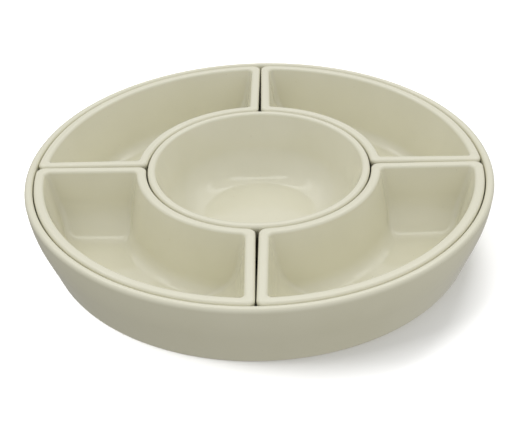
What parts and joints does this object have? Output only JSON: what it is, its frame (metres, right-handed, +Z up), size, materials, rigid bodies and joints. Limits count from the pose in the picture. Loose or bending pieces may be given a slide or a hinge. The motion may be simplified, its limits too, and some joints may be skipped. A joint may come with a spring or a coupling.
{
  "type": "chip and dip server",
  "caption": "Round glazed stoneware chip and dip server: a tray with a low leaning wall holds quarter-ring chip dishes around a central dip bowl, and each lifts out.",
  "frame": {"origin": "centre of the tray's foot, on the surface that the server stands on", "axes": "+Z up out of the bowl, +X to the right and +Y away from the viewer, along the gaps between the chip dishes"},
  "size_m": [0.3304, 0.3304, 0.052],
  "materials": {
    "tray_glaze": "glossy ivory glaze",
    "bowl_glaze": "glossy ivory glaze",
    "dish_glaze": "glossy ivory glaze"
  },
  "bodies": {
    "tray": {"serving_tray": "tray_glaze"},
    "bowl": {"dip_bowl": "bowl_glaze"},
    "dish_front_left": {"chip_dish_front_left": "dish_glaze"},
    "dish_front_right": {"chip_dish_front_right": "dish_glaze"},
    "dish_back_left": {"chip_dish_back_left": "dish_glaze"},
    "dish_back_right": {"chip_dish_back_right": "dish_glaze"}
  },
  "joints": [
    {"name": "bowl_lift", "type": "slide", "parent": "tray", "child": "bowl", "axis": [0, 0, 1], "range_m": [0, 0.08]},
    {"name": "front_left_dish_lift", "type": "slide", "parent": "tray", "child": "dish_front_left", "axis": [0, 0, 1], "range_m": [0, 0.08]},
    {"name": "front_right_dish_lift", "type": "slide", "parent": "tray", "child": "dish_front_right", "axis": [0, 0, 1], "range_m": [0, 0.08]},
    {"name": "back_left_dish_lift", "type": "slide", "parent": "tray", "child": "dish_back_left", "axis": [0, 0, 1], "range_m": [0, 0.08]},
    {"name": "back_right_dish_lift", "type": "slide", "parent": "tray", "child": "dish_back_right", "axis": [0, 0, 1], "range_m": [0, 0.08]}
  ]
}
